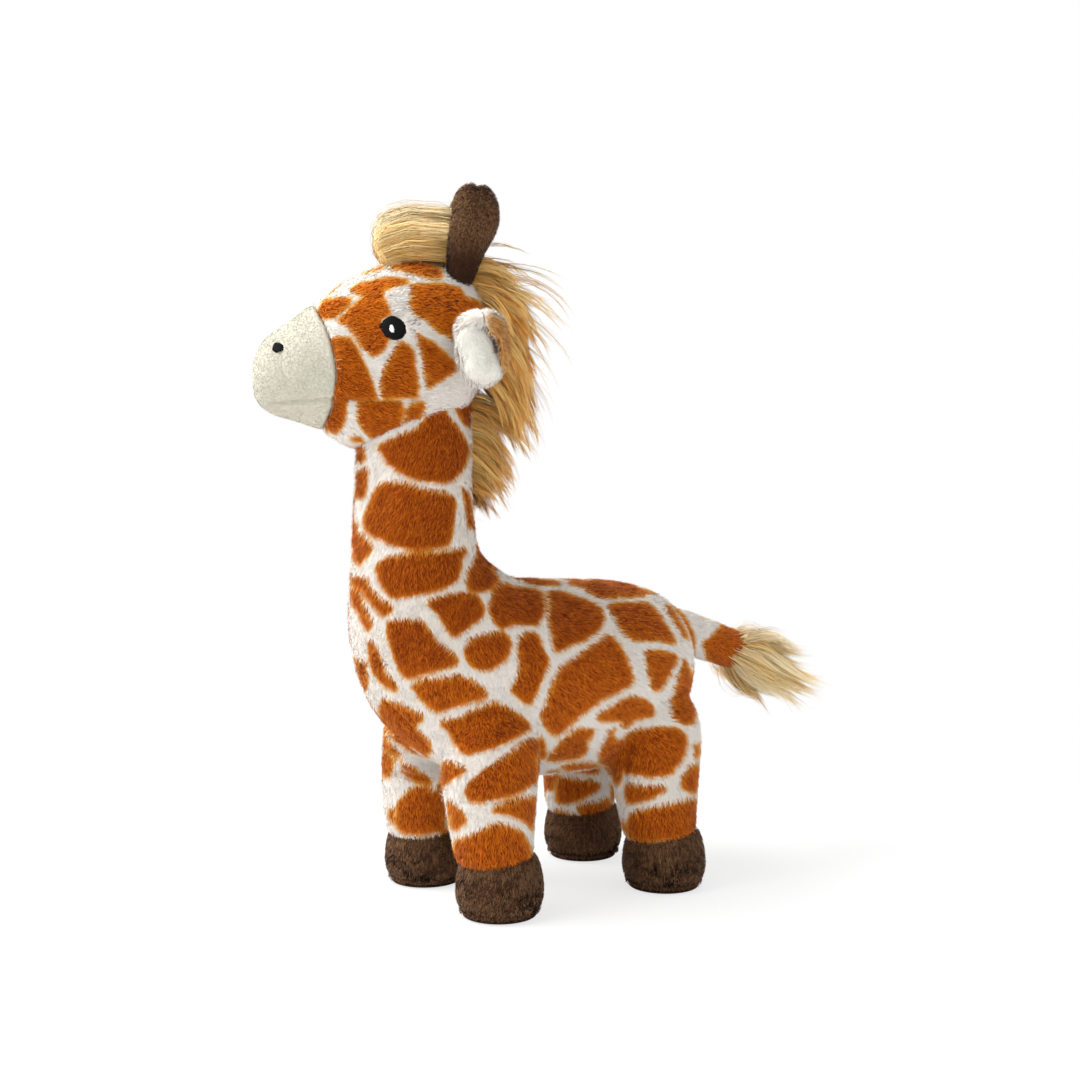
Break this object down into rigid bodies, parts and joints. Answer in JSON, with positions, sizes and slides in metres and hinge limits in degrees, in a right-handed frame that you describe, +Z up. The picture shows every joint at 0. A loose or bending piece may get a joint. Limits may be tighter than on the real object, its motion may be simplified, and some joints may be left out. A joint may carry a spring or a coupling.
{
  "type": "plush giraffe",
  "caption": "Standing plush giraffe with sewn covers over fibre filling, fleece hooves, horns and muzzle, and a long-haired mane, forelock and tail.",
  "frame": {"origin": "middle of the outline, on the floor under the soles", "axes": "+Z up, the giraffe faces -Y, its left side is +X"},
  "size_m": [0.1024, 0.2948, 0.3003],
  "materials": {
    "giraffe_plush": "short printed plush pile, rust patches on warm white",
    "cream_fleece": "short cream fleece",
    "brown_fleece": "short brown fleece",
    "dark_brown_fleece": "dense dark brown fleece",
    "golden_hair": "long soft golden pile",
    "black_thread": "satin embroidery thread",
    "white_thread": "satin embroidery thread",
    "fibre_fill": "loose polyester fibre"
  },
  "bodies": {
    "torso": {"torso_cover": "giraffe_plush", "torso_filling": "fibre_fill"},
    "neck": {"neck_cover": "giraffe_plush", "neck_filling": "fibre_fill", "mane_neck": "golden_hair"},
    "head": {"head_cover": "giraffe_plush", "muzzle_cover": "cream_fleece", "head_filling": "fibre_fill", "eye_left": "black_thread", "eye_right": "black_thread", "eye_glint_left": "white_thread", "eye_glint_right": "white_thread", "nostril_left": "black_thread", "nostril_right": "black_thread", "forelock": "golden_hair", "mane_head": "golden_hair"},
    "tail": {"tail_cover": "giraffe_plush", "tail_filling": "fibre_fill", "tail_tuft": "golden_hair"},
    "horn_left": {"horn_cover_left": "brown_fleece", "horn_filling_left": "fibre_fill"},
    "ear_left": {"ear_outer_left": "giraffe_plush", "ear_lining_left": "cream_fleece"},
    "horn_right": {"horn_cover_right": "brown_fleece", "horn_filling_right": "fibre_fill"},
    "ear_right": {"ear_outer_right": "giraffe_plush", "ear_lining_right": "cream_fleece"},
    "leg_front_left": {"leg_cover_front_left": "giraffe_plush", "leg_filling_front_left": "fibre_fill", "hoof_cover_front_left": "brown_fleece", "hoof_sole_front_left": "dark_brown_fleece"},
    "leg_front_right": {"leg_cover_front_right": "giraffe_plush", "leg_filling_front_right": "fibre_fill", "hoof_cover_front_right": "brown_fleece", "hoof_sole_front_right": "dark_brown_fleece"},
    "leg_rear_left": {"leg_cover_rear_left": "giraffe_plush", "leg_filling_rear_left": "fibre_fill", "hoof_cover_rear_left": "brown_fleece", "hoof_sole_rear_left": "dark_brown_fleece"},
    "leg_rear_right": {"leg_cover_rear_right": "giraffe_plush", "leg_filling_rear_right": "fibre_fill", "hoof_cover_rear_right": "brown_fleece", "hoof_sole_rear_right": "dark_brown_fleece"}
  },
  "joints": [
    {"name": "neck_lean", "type": "hinge", "parent": "torso", "child": "neck", "pos_m": [-0.00098, -0.08578, 0.1555], "axis": [1, 0, 0], "range_deg": [-8, 8], "stiffness_Nm_per_rad": 0.8},
    {"name": "head_turn", "type": "hinge", "parent": "neck", "child": "head", "pos_m": [-0.00098, -0.08578, 0.21049], "axis": [0, 0, 1], "range_deg": [-20, 70], "stiffness_Nm_per_rad": 0.1},
    {"name": "tail_swing", "type": "hinge", "parent": "torso", "child": "tail", "pos_m": [-0.00098, 0.05092, 0.1086], "axis": [1, 0, 0], "range_deg": [-25, 25], "stiffness_Nm_per_rad": 0.15},
    {"name": "horn_bend_left", "type": "hinge", "parent": "head", "child": "horn_left", "pos_m": [0.01793, -0.07423, 0.26259], "axis": [0.4195, 0.8995, -0.1219], "range_deg": [-2, 20], "stiffness_Nm_per_rad": 0.03},
    {"name": "ear_swing_left", "type": "hinge", "parent": "head", "child": "ear_left", "pos_m": [0.02881, -0.07612, 0.24371], "axis": [-0.0872, -0.9962, 0], "range_deg": [0, 40], "stiffness_Nm_per_rad": 0.01},
    {"name": "horn_bend_right", "type": "hinge", "parent": "head", "child": "horn_right", "pos_m": [-0.00428, -0.06388, 0.26259], "axis": [-0.4195, -0.8995, 0.1219], "range_deg": [-2, 20], "stiffness_Nm_per_rad": 0.03},
    {"name": "ear_swing_right", "type": "hinge", "parent": "head", "child": "ear_right", "pos_m": [-0.01272, -0.05675, 0.24371], "axis": [0.7071, 0.7071, 0], "range_deg": [0, 40], "stiffness_Nm_per_rad": 0.01},
    {"name": "hip_swing_front_left", "type": "hinge", "parent": "torso", "child": "leg_front_left", "pos_m": [0.02602, -0.06474, 0.06212], "axis": [1, 0, 0], "range_deg": [-12, 12], "stiffness_Nm_per_rad": 0.6},
    {"name": "hip_swing_front_right", "type": "hinge", "parent": "torso", "child": "leg_front_right", "pos_m": [-0.02798, -0.06474, 0.06212], "axis": [1, 0, 0], "range_deg": [-12, 12], "stiffness_Nm_per_rad": 0.6},
    {"name": "hip_swing_rear_left", "type": "hinge", "parent": "torso", "child": "leg_rear_left", "pos_m": [0.02602, 0.01876, 0.06212], "axis": [1, 0, 0], "range_deg": [-12, 12], "stiffness_Nm_per_rad": 0.6},
    {"name": "hip_swing_rear_right", "type": "hinge", "parent": "torso", "child": "leg_rear_right", "pos_m": [-0.02798, 0.01876, 0.06212], "axis": [1, 0, 0], "range_deg": [-12, 12], "stiffness_Nm_per_rad": 0.6}
  ]
}
